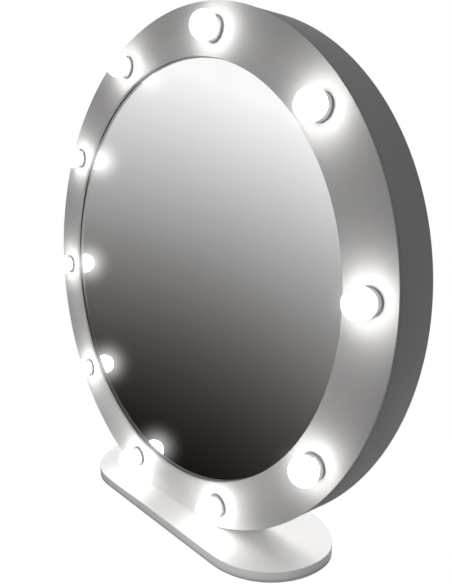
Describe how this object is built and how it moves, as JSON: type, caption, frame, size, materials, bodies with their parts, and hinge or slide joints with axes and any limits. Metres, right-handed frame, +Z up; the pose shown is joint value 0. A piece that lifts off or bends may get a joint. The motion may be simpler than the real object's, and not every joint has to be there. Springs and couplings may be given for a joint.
{
  "type": "lighted vanity mirror",
  "caption": "Round make-up mirror in a shallow white drum frame ringed with opal globe bulbs, standing on a flat base plate with round ends.",
  "frame": {"origin": "on the base plate's underside, on the table: midway along the plate, in line with the centres of its round ends", "axes": "the mirror faces -Y, +X is to the right seen from the front, +Z is up"},
  "size_m": [0.91, 0.2195, 0.9098],
  "materials": {
    "white_paint": "satin white paint over fibreboard",
    "bare_wood": "bare plywood",
    "hardboard": "white-faced hardboard",
    "white_plastic": "moulded white plastic",
    "grey_plastic": "moulded silver-grey plastic",
    "opal_bulb": "opal diffusing globe, lit",
    "silvered_glass": "clear silvered float glass",
    "black_rubber": "black foam seal",
    "zinc_steel": "zinc-plated steel",
    "black_plastic": "moulded black plastic",
    "cable_sheath": "white flexible cable sheath"
  },
  "bodies": {
    "frame_and_base": {"base_plate": "white_paint", "front_ring": "white_paint", "side_band": "white_paint", "foot_block": "bare_wood", "mirror_backing": "bare_wood", "rear_panel": "hardboard", "base_bolt_left": "zinc_steel", "base_bolt_right": "zinc_steel", "panel_screw_01": "zinc_steel", "panel_screw_02": "zinc_steel", "panel_screw_03": "zinc_steel", "panel_screw_04": "zinc_steel", "panel_screw_05": "zinc_steel", "panel_screw_06": "zinc_steel", "mirror_clip_01": "zinc_steel", "mirror_clip_02": "zinc_steel", "mirror_clip_03": "zinc_steel", "mirror_clip_04": "zinc_steel", "clip_screw_01": "zinc_steel", "clip_screw_02": "zinc_steel", "clip_screw_03": "zinc_steel", "clip_screw_04": "zinc_steel", "mirror_gasket": "black_rubber", "mirror_glass": "silvered_glass", "terminal_box": "white_plastic", "lampholder_01": "white_plastic", "lampholder_02": "white_plastic", "lampholder_03": "white_plastic", "lampholder_04": "white_plastic", "lampholder_05": "white_plastic", "lampholder_06": "white_plastic", "lampholder_07": "white_plastic", "lampholder_08": "white_plastic", "lampholder_09": "white_plastic", "lampholder_10": "white_plastic", "lamp_collar_01": "grey_plastic", "lamp_collar_02": "grey_plastic", "lamp_collar_03": "grey_plastic", "lamp_collar_04": "grey_plastic", "lamp_collar_05": "grey_plastic", "lamp_collar_06": "grey_plastic", "lamp_collar_07": "grey_plastic", "lamp_collar_08": "grey_plastic", "lamp_collar_09": "grey_plastic", "lamp_collar_10": "grey_plastic", "wiring_loop": "cable_sheath", "supply_lead": "cable_sheath", "switch_housing": "black_plastic", "power_inlet": "black_plastic"},
    "bulb_01": {"bulb_01": "opal_bulb"},
    "bulb_02": {"bulb_02": "opal_bulb"},
    "bulb_03": {"bulb_03": "opal_bulb"},
    "bulb_04": {"bulb_04": "opal_bulb"},
    "bulb_05": {"bulb_05": "opal_bulb"},
    "bulb_06": {"bulb_06": "opal_bulb"},
    "bulb_07": {"bulb_07": "opal_bulb"},
    "bulb_08": {"bulb_08": "opal_bulb"},
    "bulb_09": {"bulb_09": "opal_bulb"},
    "bulb_10": {"bulb_10": "opal_bulb"},
    "switch_rocker": {"switch_rocker": "black_plastic"}
  },
  "joints": [
    {"name": "bulb_01_unscrew", "type": "hinge", "parent": "frame_and_base", "child": "bulb_01", "pos_m": [0.4105, -0.0756, 0.4548], "axis": [0, -1, 0], "range_deg": [0, 1080]},
    {"name": "bulb_02_unscrew", "type": "hinge", "parent": "frame_and_base", "child": "bulb_02", "pos_m": [0.3321, -0.0756, 0.69609], "axis": [0, -1, 0], "range_deg": [0, 1080]},
    {"name": "bulb_03_unscrew", "type": "hinge", "parent": "frame_and_base", "child": "bulb_03", "pos_m": [0.12685, -0.0756, 0.84521], "axis": [0, -1, 0], "range_deg": [0, 1080]},
    {"name": "bulb_04_unscrew", "type": "hinge", "parent": "frame_and_base", "child": "bulb_04", "pos_m": [-0.12685, -0.0756, 0.84521], "axis": [0, -1, 0], "range_deg": [0, 1080]},
    {"name": "bulb_05_unscrew", "type": "hinge", "parent": "frame_and_base", "child": "bulb_05", "pos_m": [-0.3321, -0.0756, 0.69609], "axis": [0, -1, 0], "range_deg": [0, 1080]},
    {"name": "bulb_06_unscrew", "type": "hinge", "parent": "frame_and_base", "child": "bulb_06", "pos_m": [-0.4105, -0.0756, 0.4548], "axis": [0, -1, 0], "range_deg": [0, 1080]},
    {"name": "bulb_07_unscrew", "type": "hinge", "parent": "frame_and_base", "child": "bulb_07", "pos_m": [-0.3321, -0.0756, 0.21351], "axis": [0, -1, 0], "range_deg": [0, 1080]},
    {"name": "bulb_08_unscrew", "type": "hinge", "parent": "frame_and_base", "child": "bulb_08", "pos_m": [-0.12685, -0.0756, 0.06439], "axis": [0, -1, 0], "range_deg": [0, 1080]},
    {"name": "bulb_09_unscrew", "type": "hinge", "parent": "frame_and_base", "child": "bulb_09", "pos_m": [0.12685, -0.0756, 0.06439], "axis": [0, -1, 0], "range_deg": [0, 1080]},
    {"name": "bulb_10_unscrew", "type": "hinge", "parent": "frame_and_base", "child": "bulb_10", "pos_m": [0.3321, -0.0756, 0.21351], "axis": [0, -1, 0], "range_deg": [0, 1080]},
    {"name": "switch_rocker_tilt", "type": "hinge", "parent": "frame_and_base", "child": "switch_rocker", "pos_m": [0.07, -0.0052, 0.1098], "axis": [1, 0, 0], "range_deg": [0, 24]}
  ]
}
